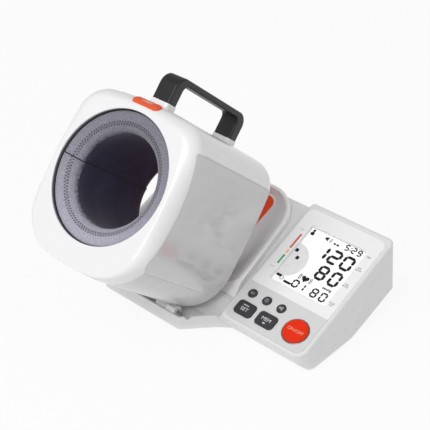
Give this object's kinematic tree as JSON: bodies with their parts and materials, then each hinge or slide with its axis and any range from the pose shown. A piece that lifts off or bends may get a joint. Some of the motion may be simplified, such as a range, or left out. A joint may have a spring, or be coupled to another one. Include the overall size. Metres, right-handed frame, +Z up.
{
  "type": "blood pressure monitor",
  "caption": "Table-top arm-in blood pressure monitor: a tilting cuff drum with carry handle on a base with elbow rest, sloped display panel and keys.",
  "frame": {"origin": "centre of the outline's footprint, on the table", "axes": "+Z up, +X to the control unit's side, -Y to the tunnel's front mouth; at rest the drum leans on its stops in the position of use"},
  "size_m": [0.302, 0.2962, 0.2663],
  "materials": {
    "shell_white": "gloss",
    "shell_grey": "satin gloss",
    "handle_black": "fine grain",
    "orange_plastic": "gloss",
    "orange_rubber": "soft matt",
    "key_grey": "satin",
    "cuff_fabric": "woven",
    "bladder_rubber": "matt",
    "foot_rubber": "matt",
    "inner_plastic": "plain",
    "ring_dark": "gloss",
    "window_clear": "clear",
    "display_glass": "reflective",
    "board_green": "board",
    "steel": "plain",
    "cable_sheath": "matt",
    "cell_wrap": "gloss",
    "speaker_dark": "matt"
  },
  "bodies": {
    "base": {"base_upper_shell": "shell_white", "base_lower_shell": "shell_grey", "elbow_rest": "shell_white", "elbow_pad": "orange_rubber", "display_plate": "shell_white", "keypad_plate": "shell_grey", "display_window": "window_clear", "display": "display_glass", "display_frame": "inner_plastic", "power_ring": "ring_dark", "key_mat": "foot_rubber", "main_board": "board_green", "pressure_sensor": "inner_plastic", "hinge_pin_left": "steel", "hinge_pin_right": "steel", "tilt_stops": "inner_plastic", "pump_motor": "steel", "pump_head": "inner_plastic", "pump_mount": "inner_plastic", "release_valve": "steel", "base_air_tube": "bladder_rubber", "speaker": "speaker_dark", "battery_box": "inner_plastic", "battery_cell_1": "cell_wrap", "battery_cell_2": "cell_wrap", "battery_cell_3": "cell_wrap", "battery_cell_4": "cell_wrap", "battery_contacts": "steel", "rubber_feet": "foot_rubber", "base_screws": "steel"},
    "drum": {"front_bezel": "shell_white", "drum_upper_shell": "shell_white", "drum_lower_shell": "shell_grey", "side_panel_right": "shell_grey", "side_panel_left": "shell_grey", "rear_trim_ring": "inner_plastic", "cuff_core": "inner_plastic", "cuff_liner_upper": "cuff_fabric", "cuff_liner_lower": "cuff_fabric", "air_bladder": "bladder_rubber", "drum_air_tube": "bladder_rubber", "drum_screws": "steel", "carry_handle": "handle_black", "handle_screws": "steel", "open_button_springs": "steel", "pawl_guide": "inner_plastic", "pawl_spring": "steel", "release_cable": "cable_sheath", "hinge_bush_left": "inner_plastic", "hinge_bush_right": "inner_plastic"},
    "power_button": {"power_button": "orange_plastic"},
    "set_key": {"set_key": "key_grey"},
    "memory_key": {"memory_key": "key_grey"},
    "small_key_left": {"small_key_left": "key_grey"},
    "small_key_middle": {"small_key_middle": "key_grey"},
    "small_key_right": {"small_key_right": "key_grey"},
    "open_button": {"open_button": "orange_plastic"},
    "latch_pawl": {"latch_pawl": "inner_plastic"},
    "battery_door": {"battery_door": "shell_grey"}
  },
  "joints": [
    {"name": "drum_tilt", "type": "hinge", "parent": "base", "child": "drum", "pos_m": [-0.055, -0.03713, 0.017], "axis": [1, 0, 0], "range_deg": [0, 41]},
    {"name": "power_button_press", "type": "slide", "parent": "base", "child": "power_button", "axis": [0, 0.3869, -0.9221], "range_m": [0, 0.0012], "stiffness_N_per_m": 1800, "deforming": ["key_mat"]},
    {"name": "set_key_press", "type": "slide", "parent": "base", "child": "set_key", "axis": [0, 0.3869, -0.9221], "range_m": [0, 0.0012], "stiffness_N_per_m": 1200, "deforming": ["key_mat"]},
    {"name": "memory_key_press", "type": "slide", "parent": "base", "child": "memory_key", "axis": [0, 0.3869, -0.9221], "range_m": [0, 0.0012], "stiffness_N_per_m": 1200, "deforming": ["key_mat"]},
    {"name": "small_key_left_press", "type": "slide", "parent": "base", "child": "small_key_left", "axis": [0, 0.3869, -0.9221], "range_m": [0, 0.0012], "stiffness_N_per_m": 1200, "deforming": ["key_mat"]},
    {"name": "small_key_middle_press", "type": "slide", "parent": "base", "child": "small_key_middle", "axis": [0, 0.3869, -0.9221], "range_m": [0, 0.0012], "stiffness_N_per_m": 1200, "deforming": ["key_mat"]},
    {"name": "small_key_right_press", "type": "slide", "parent": "base", "child": "small_key_right", "axis": [0, 0.3869, -0.9221], "range_m": [0, 0.0012], "stiffness_N_per_m": 1200, "deforming": ["key_mat"]},
    {"name": "open_button_press", "type": "slide", "parent": "drum", "child": "open_button", "axis": [0, -0.1736, -0.9848], "range_m": [0, 0.002], "stiffness_N_per_m": 1500, "deforming": ["open_button_springs"]},
    {"name": "latch_pawl_lift", "type": "slide", "parent": "drum", "child": "latch_pawl", "axis": [0, 0.6561, 0.7547], "range_m": [0, 0.0025], "stiffness_N_per_m": 400, "deforming": ["pawl_spring"]},
    {"name": "battery_door_slide", "type": "slide", "parent": "base", "child": "battery_door", "axis": [0, 0.9398, 0.3417], "range_m": [0, 0.012]}
  ],
  "couplings": [
    {"joint": "latch_pawl_lift", "follows": "open_button_press", "ratio": 1.25}
  ]
}
